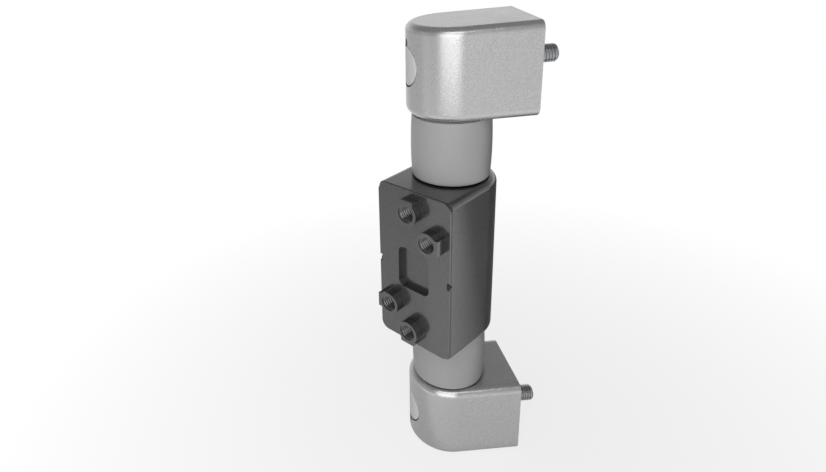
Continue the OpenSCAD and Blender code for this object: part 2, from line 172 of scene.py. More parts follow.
class JointFinish(bpy.types.PropertyGroup):
    """Colours and gloss of the joint's materials"""

    silver: colour("Silver Coat", "Lacquer of the brackets", (0.475, 0.475, 0.478))
    silver_gloss: factor("Silver Roughness", "Roughness of the brackets' lacquer", 0.27)
    dark: colour("Dark Coat", "Lacquer of the arm casting", (0.042, 0.042, 0.043))
    dark_gloss: factor("Dark Roughness", "Roughness of the arm casting's lacquer", 0.3)
    sleeve: colour("Sleeve Plastic", "Moulded plastic of the cover sleeves", (0.42, 0.42, 0.422))
    cap: colour("Cap Plastic", "Moulded plastic of the blanking caps", (0.76, 0.76, 0.765))
    rubber: colour("Seal Rubber", "Rubber of the dust rings", (0.015, 0.015, 0.016))
    zinc: colour("Zinc Plate", "Zinc-plated steel", (0.55, 0.56, 0.57))
    steel: colour("Ground Steel", "Ground shaft", (0.62, 0.62, 0.63))
    spring: colour("Spring Steel", "Oiled spring steel", (0.17, 0.17, 0.18))
    nut: colour("Nut Steel", "Yellow passivated steel of the adjusting nut", (0.5, 0.44, 0.27))
    black: colour("Black Steel", "Black oxide of the lock screw", (0.05, 0.05, 0.055))
    bronze: colour("Bush Bronze", "Sintered bronze", (0.5, 0.32, 0.14))
    lining: colour("Friction Lining", "Moulded friction lining", (0.14, 0.1, 0.07))


class StudioSettings(bpy.types.PropertyGroup):
    """Camera, lamps and floor"""

    camera_place: FloatVectorProperty(name="Camera Place", description="Where the camera stands",
                                      default=(-0.10972, -0.26883, 0.16462), unit="LENGTH",
                                      subtype="TRANSLATION", size=3)
    camera_turn: FloatVectorProperty(name="Camera Turn", description="How the camera is turned",
                                     default=(1.195590, 0.087286, -0.030650), size=3,
                                     subtype="EULER")
    lens: FloatProperty(name="Lens", description="Focal length in millimetres on a 36 mm sensor",
                        default=28.227, min=10.0, max=100.0)
    shift: FloatVectorProperty(name="Shift", description="Camera shift across and up",
                               default=(0.1696, -0.1048), size=2)
    key: FloatProperty(name="Key Lamp", description="Power of the key lamp", default=2.5, min=0.0,
                       unit="POWER")
    top: FloatProperty(name="Top Lamp", description="Power of the lamp above", default=2.0, min=0.0,
                       unit="POWER")
    fill: FloatProperty(name="Fill Lamp", description="Power of the fill lamp", default=0.3,
                        min=0.0, unit="POWER")
    sky: factor("Sky", "Strength of the even light all around", 0.3, 2.0)


def stop_editing():
    """Leaves edit mode and deselects everything."""
    if bpy.context.object and bpy.context.object.mode != "OBJECT":
        bpy.ops.object.mode_set(mode="OBJECT")
    bpy.ops.object.select_all(action="DESELECT")


def take(piece):
    """Makes a piece the only selected one."""
    stop_editing()
    piece.select_set(True)
    bpy.context.view_layer.objects.active = piece
    return piece


def fresh(name):
    """Names the primitive that was just added."""
    piece = bpy.context.object
    piece.name = piece.data.name = name
    return take(piece)


def edit(piece, kind="EDGE"):
    """Opens a piece in edit mode with all of it selected."""
    if bpy.context.object != piece or piece.mode != "EDIT":
        take(piece)
        bpy.ops.object.mode_set(mode="EDIT")
    bpy.ops.mesh.select_mode(type=kind)
    bpy.ops.mesh.select_all(action="SELECT")


def pick(piece, kind, test):
    """Selects in edit mode the vertices, edges or faces that pass a test."""
    edit(piece, kind)
    bpy.ops.mesh.select_all(action="DESELECT")
    mesh = bmesh.from_edit_mesh(piece.data)
    items = {"VERT": mesh.verts, "EDGE": mesh.edges, "FACE": mesh.faces}[kind]
    found = [item for item in items if test(item)]
    if not found:
        raise RuntimeError(f"{piece.name}: nothing found to select")
    for item in found:
        item.select_set(True)
    mesh.select_flush_mode()
    bmesh.update_edit_mesh(piece.data)


def close_up(piece):
    """Merges doubles, turns the faces outwards and leaves edit mode."""
    edit(piece)
    bpy.ops.mesh.remove_doubles(threshold=TINY)
    bpy.ops.mesh.normals_make_consistent(inside=False)
    stop_editing()
    return piece


def settle(piece):
    """Writes a piece's place, turn and scale into its mesh."""
    take(piece)
    bpy.ops.object.transform_apply(location=True, rotation=True, scale=True)
    return piece


def place(piece, at=(0, 0, 0), turn=(0, 0, 0)):
    """Moves and turns a piece, and writes that into its mesh."""
    settle(piece)
    piece.rotation_euler = Euler(turn)
    piece.location = Vector(at)
    return settle(piece)


def combine(piece, other, how):
    """Cuts another solid from a piece, joins it on or keeps what they share."""
    take(piece)
    step = piece.modifiers.new("combine", "BOOLEAN")
    step.operation = how
    step.solver = "EXACT"
    step.object = other
    bpy.ops.object.modifier_apply(modifier=step.name)
    bpy.data.objects.remove(other)
    return piece


def merge(piece, other):
    """Adds another solid's faces to a piece as they are."""
    take(piece)
    other.select_set(True)
    bpy.ops.object.join()
    return piece


def turned_over(piece, name):
    """The lower copy of an upper piece, with its own mesh."""
    copy = piece.copy()
    copy.data = piece.data.copy()
    copy.name = copy.data.name = name
    bpy.context.scene.collection.objects.link(copy)
    take(copy)
    copy.scale = (1, 1, -1)
    settle(copy)
    return close_up(copy)


def break_edges(piece, width, spare=lambda point: False):
    """Rounds the sharp edges, apart from those in a spared region."""
    least = math.radians(ROUNDED_ANGLE)
    pick(piece, "EDGE", lambda edge: edge.calc_face_angle(0.0) > least
         and not all(spare(vert.co) for vert in edge.verts))
    bpy.ops.mesh.bevel(offset=width, segments=2, affect="EDGES", clamp_overlap=False,
                       miter_outer="ARC")
    stop_editing()
    return piece


def smooth(piece, angle=SMOOTH_ANGLE):
    """Shades all but the sharp edges smooth."""
    take(piece)
    bpy.ops.object.shade_smooth_by_angle(angle=math.radians(angle))
    step = piece.modifiers.new("even shading", "WEIGHTED_NORMAL")
    step.keep_sharp = True
    bpy.ops.object.modifier_apply(modifier=step.name)
    return piece


def next_ring(rise, radius, new_radius):
    """Extrudes the selected ring upwards and changes its radius."""
    bpy.ops.mesh.extrude_edges_move(TRANSFORM_OT_translate={"value": (0, 0, rise)})
    scale = new_radius / radius
    bpy.ops.transform.resize(value=(scale, scale, 1), center_override=(0, 0, 0))


def turned(name, profile, steps, closed=True):
    """A turned piece about the Z axis. The profile is a list of [radius, height]."""
    radius, height = profile[0]
    bpy.ops.mesh.primitive_circle_add(vertices=steps, radius=radius, location=(0, 0, 0))
    piece = fresh(name)
    edit(piece)
    bpy.ops.transform.translate(value=(0, 0, height))
    for new_radius, new_height in profile[1:]:
        next_ring(new_height - height, radius, new_radius)
        radius, height = new_radius, new_height
    if closed:
        pick(piece, "EDGE", lambda edge: edge.is_boundary)
        bpy.ops.mesh.bridge_edge_loops()
    else:
        edit(piece)
        bpy.ops.mesh.fill_holes(sides=0)
    return close_up(piece)


def rod(name, radius, start, end, steps):
    """A plain cylinder along X, from start to end."""
    bpy.ops.mesh.primitive_cylinder_add(vertices=steps, radius=radius, depth=end - start,
                                        location=((start + end) / 2, 0, 0),
                                        rotation=(0, math.pi / 2, 0))
    return settle(fresh(name))


def bar(name, x, y, z, corner=0.0):
    """A block between two limits on each axis, its edges along X rounded."""
    size = [limits[1] - limits[0] for limits in (x, y, z)]
    bpy.ops.mesh.primitive_cube_add(size=1, location=[sum(limits) / 2 for limits in (x, y, z)])
    piece = fresh(name)
    piece.scale = size
    settle(piece)
    if corner:
        pick(piece, "EDGE", lambda edge: abs(edge.verts[0].co.x - edge.verts[1].co.x) > TINY)
        bpy.ops.mesh.bevel(offset=corner, segments=6, affect="EDGES", clamp_overlap=False)
        stop_editing()
    return piece


def threaded_rod(name, core, crest, pitch, end):
    """A rod along X from nought to end with a helical thread, its ends cut square."""
    land = pitch / 8
    first_ring, spare_turns = -1.53 * pitch, 3
    bpy.ops.mesh.primitive_circle_add(vertices=HOLE_STEPS, radius=core)
    piece = fresh(name)
    edit(piece)
    bpy.ops.transform.translate(value=(0, 0, first_ring))
    radius = core
    for _ in range(math.ceil(end / pitch) + spare_turns):
        for new_radius, rise in ((crest, pitch / 2 - land), (crest, land), (core, pitch / 2 - land),
                                 (core, land)):
            next_ring(rise, radius, new_radius)
            radius = new_radius
    stop_editing()
    lead_in_helix(piece, pitch)
    for height, below in ((0.0, True), (end, False)):
        edit(piece)
        bpy.ops.mesh.bisect(plane_co=(0, 0, height), plane_no=(0, 0, 1), use_fill=True,
                            clear_inner=below, clear_outer=not below, threshold=1e-8)
    close_up(piece)
    return place(piece, turn=(0, math.pi / 2, 0))


def on_seam(vert):
    """True for a vertex in the half plane where a helix's turns begin."""
    return abs(vert.co.y) < TINY and vert.co.x > 0


def lead_in_helix(piece, pitch):
    """Turns stacked rings into one helix: each vertex rises by its share of a pitch."""
    mesh = bmesh.new()
    mesh.from_mesh(piece.data)
    seam = [edge for edge in mesh.edges if all(on_seam(vert) for vert in edge.verts)]
    bmesh.ops.split_edges(mesh, edges=seam)
    for face in mesh.faces:
        low_side = face.calc_center_median().y < 0
        for vert in face.verts:
            if on_seam(vert):
                vert.tag = low_side
    for vert in mesh.verts:
        share = math.atan2(vert.co.y, vert.co.x) / (2 * math.pi) % 1.0
        if on_seam(vert):
            share = 1.0 if vert.tag else 0.0
        vert.co.z += share * pitch
    bmesh.ops.remove_doubles(mesh, verts=mesh.verts, dist=TINY)
    mesh.to_mesh(piece.data)
    mesh.free()


def nosed_block(name, radius, low, high, reach, low_fillet, high_fillet):
    """A block about the Z axis: a half-round nose towards -X and straight sides towards +X."""
    bpy.ops.mesh.primitive_cylinder_add(vertices=NOSE_STEPS, radius=radius, depth=high - low,
                                        location=(0, 0, (low + high) / 2))
    piece = settle(fresh(name))
    edit(piece)
    bpy.ops.mesh.bisect(plane_co=(0, 0, 0), plane_no=(1, 0, 0), clear_outer=True, use_fill=True,
                        threshold=1e-7)
    pick(piece, "FACE", lambda face: face.normal.x > 0.9)
    bpy.ops.mesh.extrude_region_move(TRANSFORM_OT_translate={"value": (reach, 0, 0)})
    bpy.ops.mesh.select_all(action="SELECT")
    bpy.ops.mesh.dissolve_limited(angle_limit=1e-3)
    for height, fillet in ((low, low_fillet), (high, high_fillet)):
        pick(piece, "EDGE", lambda edge: all(abs(v.co.z - height) < TINY for v in edge.verts)
             and not all(v.co.x > reach - TINY for v in edge.verts))
        bpy.ops.mesh.bevel(offset=fillet, segments=10, affect="EDGES", clamp_overlap=False)
    return close_up(piece)


def add(tree, kind, sockets=None, **settings):
    """Adds a shader node. A socket is given a number, a colour or the output that feeds it."""
    made = tree.nodes.new("ShaderNode" + kind)
    for name, value in settings.items():
        setattr(made, name, value)
    for key, value in (sockets or {}).items():
        if isinstance(value, bpy.types.NodeSocket):
            tree.links.new(value, made.inputs[key])
        else:
            made.inputs[key].default_value = value
    return made


FLOAT, COLOUR, VECTOR = "NodeSocketFloat", "NodeSocketColor", "NodeSocketVector"


def new_group(name, inputs, outputs):
    """An empty shader node group with named sockets."""
    group = bpy.data.node_groups.new(name, "ShaderNodeTree")
    for label, kind, value in inputs:
        socket = group.interface.new_socket(name=label, in_out="INPUT", socket_type=kind)
        if value is not None:
            socket.default_value = value
    for label, kind in outputs:
        group.interface.new_socket(name=label, in_out="OUTPUT", socket_type=kind)
    given, out = group.nodes.new("NodeGroupInput"), group.nodes.new("NodeGroupOutput")
    return group, given.outputs, out.inputs


def ramp(tree, value, low, high, start=0.0, end=1.0):
    """Maps a value from low and high to start and end, clamped."""
    return add(tree, "MapRange", {"Value": value, "From Min": low, "From Max": high,
                                  "To Min": start, "To Max": end}).outputs["Result"]


def math_node(tree, operation, first, second):
    """A calculation with two values."""
    return add(tree, "Math", {0: first, 1: second}, operation=operation).outputs[0]


def mix(tree, share, first, second):
    """Mixes two colours."""
    return add(tree, "Mix", {0: share, 6: first, 7: second}, data_type="RGBA").outputs[2]


def noise(tree, vector, scale, **sockets):
    """A noise texture's value."""
    return add(tree, "TexNoise", {"Vector": vector, "Scale": scale, **sockets}).outputs["Fac"]


def cast_grain_group():
    """Fine speckle of a coat over a casting, with soft broad unevenness."""
    group, given, out = new_group(
        "Cast Grain",
        [("Vector", VECTOR, None), ("Speckle", FLOAT, 2600.0),
         ("Light", COLOUR, (0.5, 0.5, 0.5, 1)), ("Dark", COLOUR, (0.4, 0.4, 0.4, 1))],
        [("Colour", COLOUR), ("Height", FLOAT)])
    fine = noise(group, given["Vector"], given["Speckle"], Detail=1.0, Roughness=0.5)
    broad = noise(group, given["Vector"], 55.0, Detail=2.0)
    speck = ramp(group, fine, 0.36, 0.64)
    swell = ramp(group, broad, 0.3, 0.7, 0.25, 0.75)
    tone = mix(group, 0.06, speck, swell)
    group.links.new(mix(group, tone, given["Dark"], given["Light"]), out["Colour"])
    group.links.new(speck, out["Height"])
    return group


def turning_marks_group():
    """Rings left by turning or grinding about the swing axis."""
    group, given, out = new_group(
        "Turning Marks",
        [("Vector", VECTOR, None), ("Rings", FLOAT, 900.0),
         ("Light", COLOUR, (0.6, 0.6, 0.6, 1)), ("Dark", COLOUR, (0.45, 0.45, 0.45, 1))],
        [("Colour", COLOUR), ("Height", FLOAT)])
    parts = add(group, "SeparateXYZ", {"Vector": given["Vector"]}).outputs
    flat = add(group, "CombineXYZ", {"X": parts["X"], "Y": parts["Y"]}).outputs[0]
    radius = add(group, "VectorMath", {0: flat}, operation="LENGTH").outputs["Value"]
    rings = add(group, "CombineXYZ", {"X": radius, "Z": parts["Z"]}).outputs[0]
    lines = noise(group, rings, given["Rings"], Detail=4.0, Roughness=0.7)
    cut = ramp(group, lines, 0.3, 0.7)
    group.links.new(mix(group, cut, given["Dark"], given["Light"]), out["Colour"])
    group.links.new(cut, out["Height"])
    return group


def handling_group():
    """Uneven gloss from handling and moulding."""
    group, given, out = new_group(
        "Handling",
        [("Vector", VECTOR, None), ("Scale", FLOAT, 90.0),
         ("Smooth", FLOAT, 0.3), ("Rough", FLOAT, 0.4)],
        [("Roughness", FLOAT)])
    cloud = noise(group, given["Vector"], given["Scale"], Detail=3.0, Distortion=0.4)
    group.links.new(ramp(group, cloud, 0.3, 0.7, given["Smooth"], given["Rough"]), out["Roughness"])
    return group


def painted_crevice_shade_group():
    """Painted shade: darkens a colour where faces stand close together."""
    group, given, out = new_group(
        "Painted Crevice Shade",
        [("Colour", COLOUR, (0.5, 0.5, 0.5, 1)), ("Reach", FLOAT, 0.003), ("Strength", FLOAT, 0.6)],
        [("Colour", COLOUR)])
    openness = add(group, "AmbientOcclusion", {"Distance": given["Reach"]}, samples=8).outputs["AO"]
    hidden = math_node(group, "MULTIPLY", ramp(group, openness, 0.3, 0.85, 1.0, 0.0),
                       given["Strength"])
    group.links.new(mix(group, hidden, given["Colour"], (0.0, 0.0, 0.0, 1)), out["Colour"])
    return group


def rubbed_edges_painted_highlight_group():
    """Mask of outer edges, lightened both for a coat rubbed thin and as a painted highlight."""
    group, given, out = new_group(
        "Rubbed Edges And Painted Highlight", [("Radius", FLOAT, 0.0005), ("Strength", FLOAT, 0.5)], [("Mask", FLOAT)])
    true_normal = group.nodes.new("ShaderNodeNewGeometry").outputs["Normal"]
    soft_normal = add(group, "Bevel", {"Radius": given["Radius"]}, samples=4).outputs[0]
    likeness = add(group, "VectorMath", {0: true_normal, 1: soft_normal},
                   operation="DOT_PRODUCT").outputs["Value"]
    edge = ramp(group, likeness, 0.995, 0.9)
    group.links.new(math_node(group, "MULTIPLY", edge, given["Strength"]), out["Mask"])
    return group


GROUP_MAKERS = {"Cast Grain": cast_grain_group, "Turning Marks": turning_marks_group,
                "Handling": handling_group, "Rubbed Edges And Painted Highlight": rubbed_edges_painted_highlight_group,
                "Painted Crevice Shade": painted_crevice_shade_group}


def effect(tree, name, sockets):
    """Places a shared effect in a material with its own values."""
    group = bpy.data.node_groups.get(name) or GROUP_MAKERS[name]()
    return add(tree, "Group", sockets, node_tree=group).outputs


# Share of white in a rubbed edge with its painted highlight, and the depth of grain and turning
# marks
RUB_AND_HIGHLIGHT_SHARE = 0.25
GRAIN_DEPTH = 0.04 * MM


def shade(base, amount):
    """A colour made lighter or darker, with its alpha."""
    return tuple(min(1.0, channel * amount) for channel in base) + (1.0,)


# edge lightens outer edges for rubbing and as a painted highlight; dust sets the painted shade in
# crevices
def finish_of(name, base, effect_name, scale, contrast, gloss_range, bump, centre, metallic=0.0,
              edge=0.0, dust=0.6, coat=0.0, coat_rough=0.1):
    """A Principled finish: grain or turning marks, uneven gloss, rubbed edges with painted
    highlight, painted crevice shade.
    """
    material = bpy.data.materials.get(name)
    if material:
        return material
    material = bpy.data.materials.new(name)
    material.use_nodes = True
    tree = material.node_tree
    shader = tree.nodes["Principled BSDF"]
    local = add(tree, "TexCoord").outputs["Object"]
    where = add(tree, "Mapping", {"Vector": local, "Location": [-c for c in centre]}).outputs[0]
    size_socket = {"Cast Grain": "Speckle", "Turning Marks": "Rings"}[effect_name]
    marks = effect(tree, effect_name, {"Vector": where, size_socket: scale,
                                       "Light": shade(base, 1 + contrast),
                                       "Dark": shade(base, 1 - contrast)})
    tone = marks["Colour"]
    if edge:
        # Outer edges lightened for a rubbed coat and as a painted highlight
        rub_and_highlight_mask = effect(tree, "Rubbed Edges And Painted Highlight", {"Strength": edge})["Mask"]
        rub_and_highlight_colour = [RUB_AND_HIGHLIGHT_SHARE + (1 - RUB_AND_HIGHLIGHT_SHARE) * channel for channel in base]
        tone = mix(tree, rub_and_highlight_mask, tone, shade(rub_and_highlight_colour, 1.0))
    # Painted shade darkens the colour in crevices and seams
    tone = effect(tree, "Painted Crevice Shade", {"Colour": tone, "Strength": dust})["Colour"]
    gloss = effect(tree, "Handling", {"Vector": where, "Smooth": gloss_range[0],
                                      "Rough": gloss_range[1]})["Roughness"]
    relief = add(tree, "Bump", {"Height": marks["Height"], "Strength": bump,
                                "Distance": GRAIN_DEPTH}).outputs[0]
    tree.links.new(tone, shader.inputs["Base Color"])
    tree.links.new(gloss, shader.inputs["Roughness"])
    tree.links.new(relief, shader.inputs["Normal"])
    shader.inputs["Metallic"].default_value = metallic
    shader.inputs["Coat Weight"].default_value = coat
    shader.inputs["Coat Roughness"].default_value = coat_rough
    return material


def finish_for(slot):
    """The material of a record's material slot."""
    looks = bpy.context.scene.joint_finish
    axis = (-bpy.context.scene.joint_sizes.axis_offset, 0, 0)
    silver_rough, dark_rough = looks.silver_gloss, looks.dark_gloss
    # Name, colour, effect, its fineness and contrast, smoothest and roughest gloss, relief, more
    # In more, edge sets rubbed edges with a painted highlight, and dust sets painted shade in
    # crevices
    table = {
        "casting_silver": ("silver coat", looks.silver, "Cast Grain", 3200.0, 0.13,
                           (silver_rough - 0.02, silver_rough + 0.02), 0.13,
                           {"metallic": 0.75, "edge": 0.2, "coat": 0.1, "coat_rough": 0.2}),
        "casting_dark": ("dark coat", looks.dark, "Cast Grain", 3000.0, 0.5,
                         (dark_rough - 0.03, dark_rough + 0.05), 0.35,
                         {"metallic": 0.3, "edge": 0.2, "coat": 1.0, "coat_rough": 0.07}),
        "sleeve_plastic": ("sleeve plastic", looks.sleeve, "Cast Grain", 3400.0, 0.05, (0.38, 0.46),
                           0.25, {}),
        # The caps get full painted shade in the seams around them
        "cap_plastic": ("cap plastic", looks.cap, "Cast Grain", 3400.0, 0.04, (0.4, 0.48), 0.2,
                        {"edge": 0.3, "dust": 1.0}),
        "seal_rubber": ("seal rubber", looks.rubber, "Cast Grain", 1800.0, 0.2, (0.6, 0.75), 0.3,
                        {}),
        "zinc_steel": ("zinc plate", looks.zinc, "Turning Marks", 1500.0, 0.1, (0.28, 0.38), 0.3,
                       {"metallic": 1.0, "edge": 0.3}),
        "ground_steel": ("ground steel", looks.steel, "Turning Marks", 4000.0, 0.08, (0.18, 0.26),
                         0.2, {"metallic": 1.0, "edge": 0.3}),
        "spring_steel": ("spring steel", looks.spring, "Turning Marks", 1200.0, 0.15, (0.3, 0.42),
                         0.3, {"metallic": 1.0, "edge": 0.4}),
        "nut_steel": ("nut steel", looks.nut, "Turning Marks", 1300.0, 0.12, (0.28, 0.36), 0.3,
                      {"metallic": 1.0, "edge": 0.3}),
        "black_steel": ("black steel", looks.black, "Cast Grain", 3000.0, 0.2, (0.35, 0.45), 0.2,
                        {"metallic": 0.8, "edge": 0.4}),
        "bush_bronze": ("bush bronze", looks.bronze, "Cast Grain", 4200.0, 0.3, (0.35, 0.5), 0.5,
                        {"metallic": 1.0}),
        "friction_lining": ("friction lining", looks.lining, "Cast Grain", 1500.0, 0.5, (0.7, 0.85),
                            0.6, {}),
    }
    name, base, effect_name, scale, contrast, gloss, bump, more = table[slot]
    return finish_of(name, base, effect_name, scale, contrast, gloss, bump, axis, **more)


def hand_over(piece, body, slot, *nodes):
    """Gives a finished piece its slot's material and its body, and hides the CAD nodes it stands
    for.
    """
    piece.data.materials.clear()
    piece.data.materials.append(finish_for(slot))
    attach(piece, body)
    if nodes:
        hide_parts(*nodes)


def done():
    """Ends an operator outside edit mode."""
    stop_editing()
    return {"FINISHED"}


def hand_over_pair(upper, lower_name, slot, upper_node, lower_node, angle=SMOOTH_ANGLE):
    """Smooths an upper piece and hands it over with its lower copy, both fixed to the upright."""
    smooth(upper, angle)
    lower = smooth(turned_over(upper, lower_name), angle)
    hand_over(upper, "bracket_pair", slot, upper_node)
    hand_over(lower, "bracket_pair", slot, lower_node)


class BracketCastings(bpy.types.Operator):
    """Builds the two silver bracket castings"""

    bl_idname = "friction_joint.bracket_castings"
    bl_label = "Bracket Castings"
    bl_options = {"REGISTER", "UNDO"}

    def execute(self, context):
        size = context.scene.joint_sizes
        low, high, nose = size.bracket_low, size.bracket_high, size.nose_radius
        spigot_end, bore_end, wall = low - 2 * MM, low + 32 * MM, 4.5 * MM
        screw_hole, head_recess = 4.3 * MM, 6.8 * MM
        notch_radius, notch_depth, notch_offset = 1.6 * MM, 2.2 * MM, 1.7 * MM
        pocket_start, pocket_inner, pocket_outer = 11 * MM, 7.5 * MM, 15 * MM
        casting = nosed_block("bracket_casting_upper", nose, low, high, size.axis_offset,
                              size.sleeve_fillet, size.outer_fillet)
        spigot = turned("spigot", [[size.spigot_radius, low + OVER],
                                   [size.spigot_radius, spigot_end]],
                        size.turning_steps, closed=False)
        combine(casting, spigot, "UNION")
        bore = turned("bore", [[size.bore_radius, bore_end], [size.bore_radius, spigot_end - OVER]],
                      RING_STEPS, closed=False)
        combine(casting, bore, "DIFFERENCE")
        cutters = [rod("screw hole", screw_hole, -size.seat - OVER, size.axis_offset + OVER,
                       HOLE_STEPS),
                   rod("head recess", head_recess, -nose, -size.seat, HEAD_STEPS),
                   rod("cap recess", size.cap_radius + size.cap_seam, -nose - OVER, -size.cap_floor,
                       RING_STEPS)]
        notch = rod("pry notch", notch_radius, -nose - OVER, notch_depth - nose, NOTCH_STEPS)
        cutters.append(place(notch, (0, 0, size.cap_radius + notch_offset)))
        for cutter in cutters:
            place(cutter, (0, 0, size.screw_height))
            combine(casting, cutter, "DIFFERENCE")
        for side in (-1, 1):
            pocket = bar("pocket", (pocket_start, size.axis_offset + 2 * OVER),
                         sorted((side * pocket_inner, side * pocket_outer)),
                         (low + wall, high - wall), corner=1.5 * MM)
            combine(casting, pocket, "DIFFERENCE")
        close_up(casting)
        # The cap's recess and the notch keep their sharp rims
        around = size.cap_radius + 4 * MM
        break_edges(casting, size.edge_break, lambda point: point.x < -size.cap_floor - OVER
                    and math.hypot(point.y, point.z - size.screw_height) < around)
        place(casting, (-size.axis_offset, 0, 0))
        hand_over_pair(casting, "bracket_casting_lower", "casting_silver", "upper_bracket",
                       "lower_bracket")
        return done()


class BlankingCaps(bpy.types.Operator):
    """Builds the two caps over the fastening screws"""

    bl_idname = "friction_joint.blanking_caps"
    bl_label = "Blanking Caps"
    bl_options = {"REGISTER", "UNDO"}

    def execute(self, context):
        size = context.scene.joint_sizes
        radius, face, floor = size.cap_radius, size.nose_radius, size.cap_floor
        rim, soft, rim_steps, rings = 0.6 * MM, 0.2 * MM, 6, 9
        room, room_end = 7.05 * MM, 16.1 * MM
        profile = [[room, room_end], [room, floor], [radius - soft, floor], [radius, floor + soft]]
        for step in range(rim_steps + 1):
            turn = math.pi / 2 * step / rim_steps
            profile.append([radius - rim + rim * math.cos(turn), face - rim + rim * math.sin(turn)])
        # Rings on the face let it follow the bracket's nose
        profile += [[(radius - rim) * share / rings, face] for share in range(rings - 1, 0, -1)]
        cap = turned("blanking_cap_upper", profile, RING_STEPS, closed=False)
        place(cap, turn=(0, -math.pi / 2, 0))
        for vert in cap.data.vertices:
            if vert.co.x < OVER - face:
                vert.co.x += face - math.sqrt(face ** 2 - vert.co.y ** 2)
        place(cap, (-size.axis_offset, 0, size.screw_height))
        hand_over_pair(cap, "blanking_cap_lower", "cap_plastic", "upper_cap", "lower_cap")
        return done()


class CoverSleeves(bpy.types.Operator):
    """Builds the two cover sleeves between the arm and the brackets"""

    bl_idname = "friction_joint.cover_sleeves"
    bl_label = "Cover Sleeves"
    bl_options = {"REGISTER", "UNDO"}

    def execute(self, context):
        size = context.scene.joint_sizes
        low, high = size.arm_height / 2 + size.sleeve_gap, size.bracket_low
        end, bore, seam, barrel_steps = size.sleeve_end, size.sleeve_bore, size.sleeve_seam, 16
        soft, lip, chamfer, ring_fit = 0.35 * MM, 0.15 * MM, 0.1 * MM, 0.05 * MM
        groove_in, groove_out = size.ring_inner - ring_fit, size.ring_outer + ring_fit
        groove_top = low + 1.35 * MM
        half = (high - low) / 2
        profile = [[bore, low + soft], [bore + soft, low], [groove_in, low], [groove_in, groove_top],
                   [groove_out, groove_top], [groove_out, low], [end - soft, low],
                   [end - soft * 0.3, low + soft * 0.3]]
        for step in range(barrel_steps + 1):
            height = -half + soft + (2 * half - soft - seam) * step / barrel_steps
            bulge = size.sleeve_barrel * (1 - (height / half) ** 2)
            profile.append([end + bulge, low + half + height])
        profile += [[end - lip, high - seam], [end - seam, high - seam],
                    [end - seam, high - chamfer], [end - seam - chamfer, high],
                    [bore + soft, high], [bore, high - soft]]
        sleeve = turned("cover_sleeve_upper", profile, size.turning_steps)
        place(sleeve, (-size.axis_offset, 0, 0))
        hand_over_pair(sleeve, "cover_sleeve_lower", "sleeve_plastic", "upper_sleeve",
                       "lower_sleeve")
        return done()


class DustRings(bpy.types.Operator):
    """Builds the two rubber dust rings with their wiping lips"""

    bl_idname = "friction_joint.dust_rings"
    bl_label = "Dust Rings"
    bl_options = {"REGISTER", "UNDO"}

    def execute(self, context):
        size = context.scene.joint_sizes
        inner, outer, low = size.ring_inner, size.ring_outer, size.arm_height / 2 + size.ring_gap
        high, lip, soft = low + size.ring_height, 0.5 * MM, 0.1 * MM
        ring = turned("dust_ring_upper",
                      [[inner, low + lip], [inner + 0.6 * lip, low + 0.3 * lip],
                       [inner + lip, low], [inner + 1.4 * lip, low + 0.3 * lip],
                       [outer, low + lip], [outer, high - soft], [outer - soft, high],
                       [inner + soft, high], [inner, high - soft]], RING_STEPS)
        place(ring, (-size.axis_offset, 0, 0))
        hand_over_pair(ring, "dust_ring_lower", "seal_rubber", "upper_dust_ring",
                       "lower_dust_ring")
        return done()


